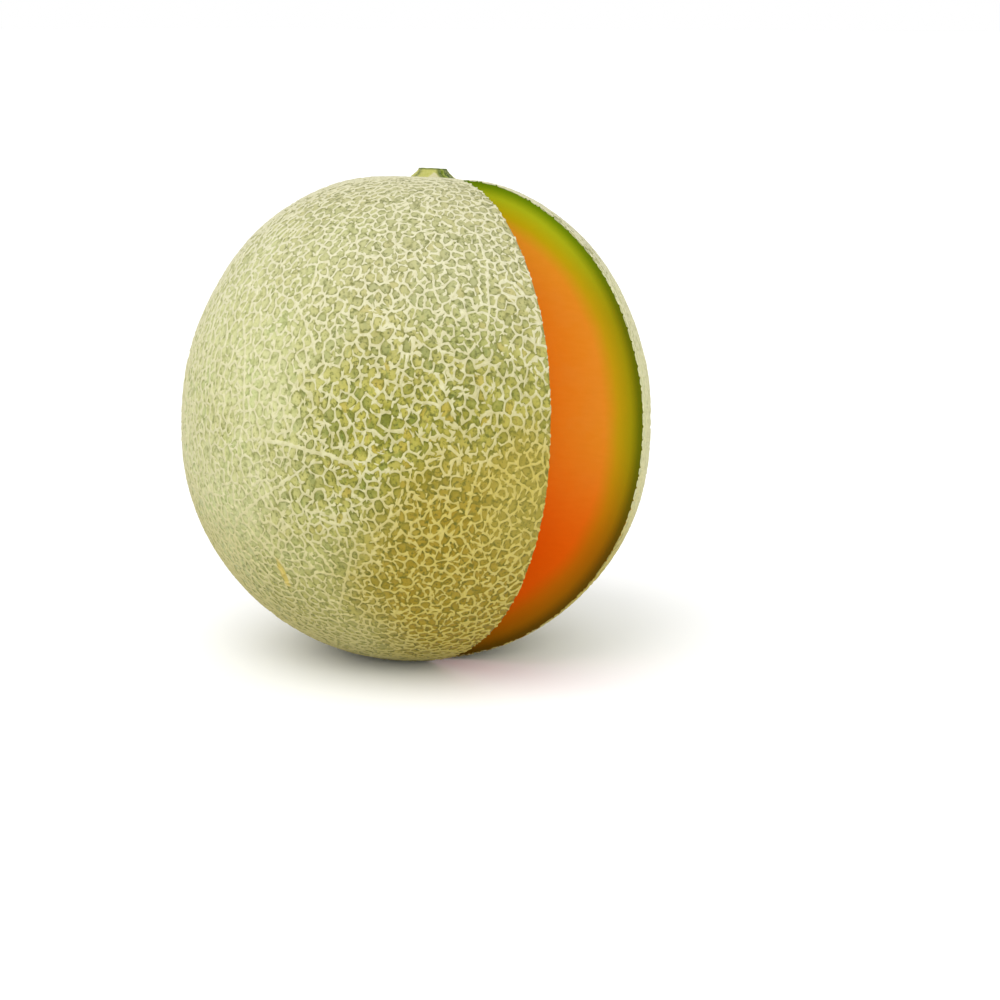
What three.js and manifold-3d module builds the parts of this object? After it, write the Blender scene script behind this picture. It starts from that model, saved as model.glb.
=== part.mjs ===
// A netted cantaloupe melon with one wedge cut out of its front, down through its stem and
// into the seed cavity. Millimetres, +Z up, the cut facing -Y. It leans a little on the
// small flat spot that it rests on: the origin is the middle of that spot, and z = 0 is the
// surface under it. Angles round an upright line are counted from -Y towards +X.
import * as THREE from 'three';
import { ConvexHull } from 'three/addons/math/ConvexHull.js';
import { mergeVertices } from 'three/addons/utils/BufferGeometryUtils.js';
import Module from 'manifold-3d';

const { degToRad, smoothstep } = THREE.MathUtils;

// The body: two half superellipses turned about the stem axis, met at the widest place.
const HALF_WIDTH = 75;
const TOP_HEIGHT = 82; // centre to crown, before the dimple
const TOP_POWER = 2.1; // 2 is an ellipse, more is squarer
const BOTTOM_HEIGHT = 75;
const BOTTOM_POWER = 2.045;
const DIMPLE_DEPTH = 3.3; // the shallow basin round the stem
const DIMPLE_RADIUS = 18.7;

// How it stands.
const LEAN = degToRad(5.6);
const LEAN_TOWARDS = degToRad(102.4);
const REST_DEPTH = 1.6; // height of the round bottom that the flat spot takes off

// The raised net, larger than life: one cell of it for each seed point.
const NET_CELLS = 540;
const NET_JITTER = 0.34; // how far a seed strays, as a share of the seeds' spacing
const NET_SEED = 20;
const CREST_LIFT = 0.5; // crest of the net above the body's nominal surface
const SKIN_SINK = 1; // skin between the net below it
const RIDGE_HALF_WIDTH = 1.5;
const RIDGE_SHARE = 0.55; // a small cell gives up at most this share of its radius to its ridge
const SMOOTH_RADIUS = 8.5; // bare skin round the stem
const NET_FULL_RADIUS = 15;

// The wedge: its two cut planes meet on a line beside the axis, through the stem.
const WEDGE_X = -0.7;
const WEDGE_Y = -5;
const WEDGE_ANGLE = degToRad(40.5);
const WEDGE_REACH = 130;

// The emptied seed cavity, a long hollow with three soft lobes.
const CAVITY_RADIUS = 33;
const CAVITY_HALF_LENGTH = 49;
const CAVITY_LOBES = 3;
const LOBE_SHARE = 0.045;
const CAVITY_SEGMENTS = 30;
const CAVITY_RINGS = 16;

// The stub of stem, ribbed and flared at its foot.
const STEM_X = 0.5;
const STEM_Y = -2.2;
const STEM_TOP_RADIUS = 4.1;
const STEM_FOOT_RADIUS = 7.6;
const STEM_HEIGHT = 4.6;
const STEM_RIBS = 5;
const RIB_SHARE = 0.08;
const STEM_SEGMENTS = 30;
const STEM_GAP = 0.3; // between the stem's foot and the skin

const wasm = await Module();
wasm.setup();

// A small random source (mulberry32) that gives the same numbers on every run.
function randomSource(seed) {
  let state = seed;
  return () => {
    state = (state + 0x6d2b79f5) | 0;
    let bits = Math.imul(state ^ (state >>> 15), 1 | state);
    bits = (bits + Math.imul(bits ^ (bits >>> 7), 61 | bits)) ^ bits;
    return ((bits ^ (bits >>> 14)) >>> 0) / 4294967296;
  };
}

// The direction across the axis at an angle.
function across(angle) {
  return new THREE.Vector2(Math.sin(angle), -Math.cos(angle));
}

function distanceFromStem(x, y) {
  return Math.hypot(x - STEM_X, y - STEM_Y);
}

// The point of the body's nominal surface that lies in a unit direction from its centre,
// lifted outwards.
function bodyPoint(direction, lift = 0) {
  const up = direction.z >= 0;
  const height = up ? TOP_HEIGHT : BOTTOM_HEIGHT;
  const power = up ? TOP_POWER : BOTTOM_POWER;
  const radial = Math.hypot(direction.x, direction.y);
  const k = (Math.abs(direction.z) ** power + radial ** power) ** (-1 / power);
  const point = new THREE.Vector3(
    HALF_WIDTH * k * direction.x,
    HALF_WIDTH * k * direction.y,
    height * k * direction.z,
  );
  if (up) {
    point.z -= DIMPLE_DEPTH * Math.exp(-((Math.hypot(point.x, point.y) / DIMPLE_RADIUS) ** 2));
  }
  return point.addScaledVector(direction, lift);
}

// Height of the nominal surface above the centre, at a distance from the axis near the top.
function crownHeight(radius) {
  const dome = TOP_HEIGHT * (1 - (radius / HALF_WIDTH) ** TOP_POWER) ** (1 / TOP_POWER);
  return dome - DIMPLE_DEPTH * Math.exp(-((radius / DIMPLE_RADIUS) ** 2));
}

// Seed points all over a unit sphere: a spiral with even spacing, each point strayed.
function netSeeds() {
  const random = randomSource(NET_SEED);
  const goldenAngle = Math.PI * (3 - Math.sqrt(5));
  const stray = NET_JITTER * Math.sqrt((4 * Math.PI) / NET_CELLS);
  return Array.from({ length: NET_CELLS }, (_, i) => {
    const z = 1 - (2 * i + 1) / NET_CELLS;
    const r = Math.sqrt(1 - z * z);
    const shift = new THREE.Vector3(random() - 0.5, random() - 0.5, random() - 0.5);
    return new THREE.Vector3(r * Math.cos(i * goldenAngle), r * Math.sin(i * goldenAngle), z)
      .addScaledVector(shift, 2 * stray)
      .normalize();
  });
}

// The net's cells: for each seed, the corners that it shares with its neighbours, in order.
// A corner is the outward normal of one face of the seeds' convex hull.
function netCells(seeds) {
  const hull = new ConvexHull().setFromPoints(seeds);
  const corners = hull.faces.map((face) => face.normal.clone());
  const faceNumber = new Map(hull.faces.map((face, i) => [face, i]));
  const arriving = new Map();
  for (const face of hull.faces) {
    let edge = face.edge;
    do {
      arriving.set(edge.vertex.point, edge);
      edge = edge.next;
    } while (edge !== face.edge);
  }
  const cells = seeds.map((seed) => {
    const first = arriving.get(seed);
    const around = [];
    let edge = first;
    do {
      around.push(faceNumber.get(edge.face));
      edge = edge.next.twin;
    } while (edge !== first);
    return around.reverse();
  });
  return { corners, cells };
}

// The whole rind as one closed skin: every cell has a sunken floor, and slopes from it up
// to the crest that it shares with its neighbours. The net fades out round the stem.
function rindGeometry() {
  const seeds = netSeeds();
  const { corners, cells } = netCells(seeds);
  const points = corners.map((corner) => {
    const flat = bodyPoint(corner, -SKIN_SINK);
    const away = corner.z > 0 ? distanceFromStem(flat.x, flat.y) : NET_FULL_RADIUS;
    const share = smoothstep(away, SMOOTH_RADIUS, NET_FULL_RADIUS);
    return bodyPoint(corner, -SKIN_SINK + share * (SKIN_SINK + CREST_LIFT));
  });
  const index = [];
  cells.forEach((around, i) => {
    const middle = points.length;
    points.push(bodyPoint(seeds[i], -SKIN_SINK));
    const floor = around.map((c) => {
      const radius = corners[c].distanceTo(seeds[i]) * HALF_WIDTH;
      const share = Math.min(RIDGE_HALF_WIDTH / radius, RIDGE_SHARE);
      const direction = corners[c].clone().lerp(seeds[i], share).normalize();
      return points.push(bodyPoint(direction, -SKIN_SINK)) - 1;
    });
    around.forEach((crest, j) => {
      const k = (j + 1) % around.length;
      index.push(crest, around[k], floor[k]);
      index.push(crest, floor[k], floor[j]);
      index.push(floor[j], floor[k], middle);
    });
  });
  const geometry = new THREE.BufferGeometry().setFromPoints(points);
  geometry.setIndex(index);
  return geometry;
}

// The space that the cut-out wedge leaves: a prism along the axis, open outwards.
function wedgeGeometry() {
  const apex = new THREE.Vector2(WEDGE_X, WEDGE_Y);
  const sides = [-WEDGE_ANGLE / 2, 0, WEDGE_ANGLE / 2];
  const corners = sides.map((angle) => across(angle).multiplyScalar(WEDGE_REACH).add(apex));
  const outline = new THREE.Shape([apex, ...corners]);
  const geometry = new THREE.ExtrudeGeometry(outline, {
    depth: 2 * WEDGE_REACH,
    bevelEnabled: false,
  });
  return geometry.translate(0, 0, -WEDGE_REACH);
}

function cavityGeometry() {
  const geometry = new THREE.SphereGeometry(1, CAVITY_SEGMENTS, CAVITY_RINGS);
  geometry.rotateX(Math.PI / 2);
  const position = geometry.attributes.position;
  for (let i = 0; i < position.count; i += 1) {
    const x = position.getX(i);
    const y = position.getY(i);
    const lobed = 1 + LOBE_SHARE * Math.cos(CAVITY_LOBES * Math.atan2(y, x)) * Math.hypot(x, y);
    position.setXYZ(
      i,
      CAVITY_RADIUS * lobed * x,
      CAVITY_RADIUS * lobed * y,
      CAVITY_HALF_LENGTH * position.getZ(i),
    );
  }
  return geometry;
}

// A turned stub whose flank sweeps out into the foot, its ribs fading up to the cut top.
function stemGeometry() {
  const steps = 6;
  const profile = [new THREE.Vector2(0, 0)];
  for (let i = 0; i <= steps; i += 1) {
    const share = i / steps;
    const flare = (STEM_FOOT_RADIUS - STEM_TOP_RADIUS) * (1 - share) ** 3;
    profile.push(new THREE.Vector2(STEM_TOP_RADIUS + flare, STEM_HEIGHT * share));
  }
  profile.push(new THREE.Vector2(0, STEM_HEIGHT));
  const geometry = new THREE.LatheGeometry(profile, STEM_SEGMENTS);
  geometry.rotateX(Math.PI / 2);
  const position = geometry.attributes.position;
  for (let i = 0; i < position.count; i += 1) {
    const x = position.getX(i);
    const y = position.getY(i);
    const ribbed = 1 + RIB_SHARE * Math.cos(STEM_RIBS * Math.atan2(y, x));
    position.setX(i, x * ribbed);
    position.setY(i, y * ribbed);
  }
  const rim = Math.hypot(STEM_X, STEM_Y) + STEM_FOOT_RADIUS * (1 + RIB_SHARE);
  const foot = crownHeight(rim) - SKIN_SINK + STEM_GAP;
  return geometry.translate(STEM_X, STEM_Y, foot);
}

function solidOf(geometry) {
  const bare = geometry.clone();
  bare.deleteAttribute('normal');
  bare.deleteAttribute('uv');
  const welded = mergeVertices(bare);
  return new wasm.Manifold(new wasm.Mesh({
    numProp: 3,
    vertProperties: new Float32Array(welded.attributes.position.array),
    triVerts: new Uint32Array(welded.index.array),
  }));
}

function geometryOf(solid) {
  const mesh = solid.getMesh();
  const geometry = new THREE.BufferGeometry();
  geometry.setAttribute('position', new THREE.BufferAttribute(mesh.vertProperties, 3));
  geometry.setIndex(new THREE.BufferAttribute(mesh.triVerts, 1));
  geometry.computeVertexNormals();
  return geometry;
}

// From the melon's own frame, centred on its axis, to the frame it stands in: turned by
// its lean, with the lowest point of the body REST_DEPTH under the origin.
function standing() {
  const lean = new THREE.Matrix4().makeRotationAxis(
    new THREE.Vector3(Math.cos(LEAN_TOWARDS), Math.sin(LEAN_TOWARDS), 0),
    LEAN,
  );
  const down = new THREE.Vector3(0, 0, -1).transformDirection(lean.clone().invert());
  const sideways = Math.hypot(down.x, down.y);
  const power = BOTTOM_POWER / (BOTTOM_POWER - 1);
  const reach = ((HALF_WIDTH * sideways) ** power + (BOTTOM_HEIGHT * -down.z) ** power)
    ** (1 / power);
  const radius = HALF_WIDTH * ((HALF_WIDTH * sideways) / reach) ** (power - 1);
  const lowest = new THREE.Vector3(
    (radius * down.x) / sideways,
    (radius * down.y) / sideways,
    -BOTTOM_HEIGHT * ((BOTTOM_HEIGHT * -down.z) / reach) ** (power - 1),
  ).applyMatrix4(lean);
  return lean.setPosition(-lowest.x, -lowest.y, -lowest.z - REST_DEPTH);
}

const placed = standing();
const wedge = solidOf(wedgeGeometry().applyMatrix4(placed));
const cavity = solidOf(cavityGeometry().applyMatrix4(placed));
const ground = solidOf(
  new THREE.BoxGeometry(2 * HALF_WIDTH, 2 * HALF_WIDTH, HALF_WIDTH).translate(0, 0, -HALF_WIDTH / 2),
);

const melon = new THREE.Mesh(
  geometryOf(
    solidOf(rindGeometry().applyMatrix4(placed)).subtract(cavity).subtract(wedge).subtract(ground),
  ),
  new THREE.MeshStandardMaterial({ color: 0xcccb95, roughness: 0.75, metalness: 0 }),
);
melon.name = 'melon';

const stem = new THREE.Mesh(
  geometryOf(solidOf(stemGeometry().applyMatrix4(placed)).subtract(wedge)),
  new THREE.MeshStandardMaterial({ color: 0x9aa548, roughness: 0.6, metalness: 0 }),
);
stem.name = 'stem';

const part = new THREE.Group();
part.add(melon, stem);

export default part;
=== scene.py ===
# A netted cantaloupe melon with one wedge cut out of it: a rind in four fitted pieces that
# carry the raised net, the flesh with its cut faces and emptied seed cavity, and the stub of
# stem. The melon's own frame is in millimetres, centred on its axis; angles round the axis
# are counted from -Y towards +X. standing() turns it into the row frame.
import math

import bpy
import numpy as np
from mathutils import Matrix, Vector, noise
from mathutils.geometry import delaunay_2d_cdt


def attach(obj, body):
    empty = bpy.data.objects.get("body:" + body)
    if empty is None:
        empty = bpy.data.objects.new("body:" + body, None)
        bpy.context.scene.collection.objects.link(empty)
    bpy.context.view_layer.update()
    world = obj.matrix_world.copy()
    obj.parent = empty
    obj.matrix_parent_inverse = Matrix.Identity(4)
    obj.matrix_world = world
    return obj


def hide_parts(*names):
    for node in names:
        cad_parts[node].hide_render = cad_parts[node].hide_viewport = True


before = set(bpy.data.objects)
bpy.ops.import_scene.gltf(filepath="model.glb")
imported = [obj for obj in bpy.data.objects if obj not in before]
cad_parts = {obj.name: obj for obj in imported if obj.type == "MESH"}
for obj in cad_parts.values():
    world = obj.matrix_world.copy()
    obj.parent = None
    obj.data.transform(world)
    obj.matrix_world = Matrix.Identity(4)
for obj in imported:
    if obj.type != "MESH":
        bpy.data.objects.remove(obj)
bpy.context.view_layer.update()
MM = 0.001

# The body: two half superellipses turned about the stem axis, met at the widest place.
HALF_WIDTH = 75
TOP_HEIGHT = 82
TOP_POWER = 2.1
BOTTOM_HEIGHT = 75
BOTTOM_POWER = 2.045
DIMPLE_DEPTH = 3.3
DIMPLE_RADIUS = 18.7

# How it stands.
LEAN = math.radians(5.6)
LEAN_TOWARDS = math.radians(102.4)
REST_DEPTH = 1.6

# The net: a raised cord on the border between every two cells. Cells lie in clusters: the
# main cords run between clusters, and finer, often broken ones inside them.
NET_CELLS = 8900
NET_CLUSTERS = 2500
NET_SEED = 7
NET_JITTER = 0.68  # how far a seed strays, as a share of the seeds' spacing
NET_SETTLING = 0.25  # how far each seed then moves towards the middle of its cell
NET_STRETCH = 1.14  # cells are longer than they are wide, and smaller near the stem
CREST_HEIGHT = 0.48  # above the skin between the cords
CORD_HALF_WIDTH = 0.43
CORNER_WIDENING = 1.12  # webs where cords meet
LARGEST_SHARE = 0.5  # of a small cell's radius that its cords take up
SHORTEST_BORDER = 0.12  # corners nearer to each other than this are one corner
MOST_SIDES = 11  # of a cell
SHORT_BORDER = 0.8  # and borders shorter than this are as strong as their corners
STEEPEST = 0.25  # cosine of the steepest slope that a side of a cord may have
SMOOTHING_PASSES = 8
LONG_CORDS = 110  # unbroken cords that run on through many cells
LONG_CORD_LENGTHS = (8, 36)
CORD_CLEARANCE = 3.2  # a long cord ends where it comes this near to another
SCAR_START = (-74.6, -5.5, -0.7)  # a straight scar, healed over with a stouter cord
SCAR_END = (-68.2, -30.0, -3.4)
SEEDS_ASIDE = (0.85, 1.5)  # distance of a long cord's seeds from it
SEED_STEPS = (1.8, 3.4)  # and from each other along it
CORD_SLANT = 0.5  # how much long cords stray from lengthwise, in radians
CORD_WANDER = 0.1  # how much they turn at each step
SCAR_WANDER = 0.02
CLEAR_OF_CORDS = 1.6  # no other seed is nearer to a long cord's seeds than this

# How strong and how wide the cords are, as shares of the crests' height and half width.
ABSENT_SHARE = 0.26  # of the finer cords
SPUR_SHARE = 0.36  # of the finer cords, which fade out at one end
FINE_STRENGTH = (0.55, 0.9)
FINE_WIDTH = (0.62, 0.95)
FAINT_SHARE = 0.06  # of the main cords
FAINT_STRENGTH = 0.1
WHOLE_SHARE = 0.86  # of the main cords, the others fade out at one end
MAIN_STRENGTH = (0.85, 1.08)
MAIN_WIDTH = (0.85, 1.2)
LONG_CORD_WIDENING = 1.1
SCAR_STRENGTH = 1.05
SCAR_WIDTH = 1.5
BOW = 0.07  # how far a cord bends aside, as a share of its length
KINK = 0.025  # and each of its two inner points by itself
SLIDE = 0.03  # and along it
NET_AT_STEM = 0.35  # share of its height that the net has at the stem
NET_RISES = (6, 16)  # distances from the stem between which it grows to its full height
FLESH_SINK = 2.4  # depth under the net's crests at which the rind pieces meet the flesh

# The wedge, and the emptied seed cavity.
WEDGE_X = -0.7
WEDGE_Y = -5
WEDGE_ANGLE = math.radians(40.5)
WEDGE_REACH = 130
CAVITY_RADIUS = 33
CAVITY_HALF_LENGTH = 49
CAVITY_LOBES = 3
LOBE_SHARE = 0.045

RIND_JOINTS = [math.radians(a) for a in (0, 75, 145, 215, 360)]  # where the rind pieces meet

# Dents that a spoon left in the cavity, and finer lengthwise ones.
DENT_DEPTH = 0.9
DENT_SIZE = 12
STRING_DEPTH = 0.2
STRING_SIZE = 5
STRING_STRETCH = 0.4

# The stub of stem: its foot is sunk into the rind, its side flares towards the foot, and its
# top is a dried cut with a raised rim.
STEM_X = 0.5
STEM_Y = -2.2
STEM_TOP_RADIUS = 4.35
STEM_FOOT_RADIUS = 8.9
STEM_HEIGHT = 3.1
STEM_SUNK = 1.0
STEM_FLARE = 1.25
STEM_RIBS = 4
RIB_TURN = math.radians(30)
GROOVE_DEPTH = 0.95
TOP_GROOVE_DEPTH = 0.35
DEEPEST_GROOVE = math.radians(-101)
# the middle of the stem's side that is painted dark green as shade
SHADED_GREEN_SIDE = math.radians(-90)
CORK_TONGUE = math.radians(-137)  # where cork climbs up the side
STEM_SEGMENTS = 160
STEM_RINGS = 72
UNDERSIDE_SHARE = 0.12  # of the rings, counted from the middle of the foot
SIDE_SHARE = 0.72  # of the rings, up to the rim of the top
STEM_CUT_GAP = 0.06  # between the stem's cut and the wedge's

STUDIO_BRIGHTNESS = 1.2

# The view.
VIEW_AZIMUTH = math.radians(-51)
VIEW_ELEVATION = math.radians(9.8)
VIEW_DISTANCE = 0.7536
LENS = 84.6
SENSOR = 36
MIDDLE_X, MIDDLE_Y = -82.5, 74  # the melon's middle from the view's, in thousandths of it


def standing():
    """The melon's own frame as it stands in the row frame, in millimetres."""
    axis = Vector((math.cos(LEAN_TOWARDS), math.sin(LEAN_TOWARDS), 0))
    lean = Matrix.Rotation(LEAN, 4, axis)
    down = lean.inverted().to_3x3() @ Vector((0, 0, -1))
    sideways = math.hypot(down.x, down.y)
    power = BOTTOM_POWER / (BOTTOM_POWER - 1)
    reach = ((HALF_WIDTH * sideways) ** power + (BOTTOM_HEIGHT * -down.z) ** power) ** (1 / power)
    radius = HALF_WIDTH * ((HALF_WIDTH * sideways) / reach) ** (power - 1)
    low = -BOTTOM_HEIGHT * ((BOTTOM_HEIGHT * -down.z) / reach) ** (power - 1)
    lowest = lean @ Vector((radius * down.x / sideways, radius * down.y / sideways, low))
    return Matrix.Translation((-lowest.x, -lowest.y, -lowest.z - REST_DEPTH)) @ lean


PLACED = standing()
TO_ROW = Matrix.Scale(MM, 4) @ PLACED  # own millimetres to row metres


# -------- the body's surface

def unit(vectors):
    """The vectors, each made one long."""
    return vectors / np.linalg.norm(vectors, axis=-1, keepdims=True)


def swell(directions):
    """Gentle unevenness of the whole fruit, in millimetres."""
    x, y, z = directions.T
    return 0.16 * np.sin(6.1 * x + 2.3 * z + 1) * np.sin(5.3 * y - 3.1 * z) + 0.1 * np.sin(
        11 * z + 7 * x * y + 2
    )


def on_body(directions, sink=0.0):
    """Points of the body's surface in these unit directions, sunk towards the centre."""
    up = directions[:, 2] >= 0
    height = np.where(up, TOP_HEIGHT, BOTTOM_HEIGHT)
    power = np.where(up, TOP_POWER, BOTTOM_POWER)
    radial = np.hypot(directions[:, 0], directions[:, 1])
    reach = (np.abs(directions[:, 2]) ** power + radial**power) ** (-1 / power)
    points = directions * reach[:, None]
    points *= np.stack([np.full(len(up), HALF_WIDTH)] * 2 + [height], axis=1)
    away = np.hypot(points[:, 0], points[:, 1]) / DIMPLE_RADIUS
    points[:, 2] -= np.where(up, DIMPLE_DEPTH * np.exp(-(away**2)), 0)
    lift = swell(directions) - sink
    return points + directions * lift[:, None]


def smoothstep(value, low, high):
    """Rises smoothly from 0 to 1 while value goes from low to high."""
    share = np.clip((value - low) / (high - low), 0, 1)
    return share * share * (3 - 2 * share)


def mark(mesh, attributes):
    """Stores values of the points as attributes, per corner, because cutting blends those."""
    corners = np.zeros(len(mesh.loops), np.int32)
    mesh.loops.foreach_get("vertex_index", corners)
    for label, values in attributes:
        layer = mesh.attributes.new(label, "FLOAT", "CORNER")
        layer.data.foreach_set("value", np.asarray(values, np.float32)[corners])


def new_piece(name, points, faces, attributes):
    """A mesh object from own-frame points, in the row frame, its origin at the row's."""
    mesh = bpy.data.meshes.new(name)
    mesh.from_pydata(np.asarray(points).tolist(), [], faces)
    mesh.transform(TO_ROW)
    mark(mesh, attributes)
    piece = bpy.data.objects.new(name, mesh)
    bpy.context.scene.collection.objects.link(piece)
    return piece


# -------- the net

def net_seeds(rng):
    """Unit directions of the cells' seeds, for each seed its mirror partner or -1, and
    whether it lies beside the scar. Partners lie across a long cord from each other, so the
    cord runs straight between them."""
    i = np.arange(NET_CELLS)
    z = 1 - (2 * i + 1) / NET_CELLS
    r = np.sqrt(1 - z * z)
    turn = i * math.pi * (3 - math.sqrt(5))
    spacing = math.sqrt(4 * math.pi / NET_CELLS)
    stray = rng.uniform(-1, 1, (NET_CELLS, 3)) * NET_JITTER * spacing
    seeds = unit(np.stack([r * np.cos(turn), r * np.sin(turn), z], axis=1) + stray)
    start, end = (unit(np.array(p) / [HALF_WIDTH, HALF_WIDTH, BOTTOM_HEIGHT * NET_STRETCH])
                  for p in (SCAR_START, SCAR_END))
    pairs = long_cord(start, unit(end - start), np.linalg.norm(end - start), SCAR_WANDER, rng)
    scar_seeds = len(pairs)
    for _ in range(LONG_CORDS):
        start = unit(rng.normal(size=3))
        along = np.cross(start, np.cross([0, 0, 1], start))
        slant = rng.normal(0, CORD_SLANT)
        along = unit(along) * math.cos(slant) + unit(np.cross(start, along)) * math.sin(slant)
        length = rng.uniform(*LONG_CORD_LENGTHS) / HALF_WIDTH
        cord = np.array(long_cord(start, along, length, CORD_WANDER, rng)).reshape(-1, 2, 3)
        earlier = np.array(pairs).reshape(-1, 3)
        for pair in cord:
            gaps = np.linalg.norm(earlier - pair.mean(axis=0), axis=1)
            if np.any(gaps < CORD_CLEARANCE / HALF_WIDTH):
                break
            pairs += [pair[0], pair[1]]
    pairs = np.array(pairs).reshape(-1, 3)
    keep = np.ones(len(seeds), bool)
    for point in pairs:
        keep &= np.linalg.norm(seeds - point, axis=1) > CLEAR_OF_CORDS / HALF_WIDTH
    seeds = seeds[keep]
    partner = np.concatenate([
        np.full(len(seeds), -1),
        len(seeds) + (np.arange(len(pairs)) ^ 1),
    ])
    in_scar = np.arange(len(partner)) - len(seeds)
    in_scar = (in_scar >= 0) & (in_scar < scar_seeds)
    return np.concatenate([seeds, pairs]), partner, in_scar


def long_cord(point, along, length, wander, rng):
    """Mirror pairs of seeds on both sides of a line that wanders over the unit sphere."""
    pairs = []
    gone = 0
    while gone < length:
        side = unit(np.cross(point, along))
        offset = rng.uniform(*SEEDS_ASIDE) / HALF_WIDTH
        pairs += [unit(point + side * offset), unit(point - side * offset)]
        step = rng.uniform(*SEED_STEPS) / HALF_WIDTH
        along = along + side * rng.normal(0, wander)
        point = unit(point + along * step)
        along = unit(along - point * np.dot(point, along))
        gone += step
    return pairs


def cell_corners(seeds):
    """The triangles between neighbouring seeds, turned outwards, and for each the direction
    that is as far from all three, which is one corner of the net. They are found on a plane
    onto which all seeds but the lowest, the pole, are cast from the pole."""
    pole = int(np.argmin(seeds[:, 2]))
    others = np.delete(np.arange(len(seeds)), pole)
    u = unit(np.cross(seeds[pole], [1, 0, 0]))
    v = np.cross(seeds[pole], u)
    cast = seeds[others] @ np.stack([u, v], axis=1) / (1 - seeds[others] @ seeds[pole])[:, None]
    found = delaunay_2d_cdt([Vector(p) for p in cast], [], [], 0, 1e-9)
    came_from = np.array([others[first] for first, *_ in found[3]])
    triangles = came_from[np.array(found[2])]
    sides = np.stack([triangles, np.roll(triangles, -1, axis=1)], axis=2).reshape(-1, 2)
    there = set(map(tuple, sides.tolist()))
    outer = [(b, a, pole) for a, b in there if (b, a) not in there]
    triangles = np.concatenate([triangles, np.array(sorted(outer))])
    a, b, c = (seeds[triangles[:, k]] for k in range(3))
    normals = np.cross(b - a, c - a)
    inward = np.sum(normals * a, axis=1) < 0
    triangles[inward] = triangles[inward][:, ::-1]
    normals[inward] *= -1
    return triangles, unit(normals)


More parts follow.
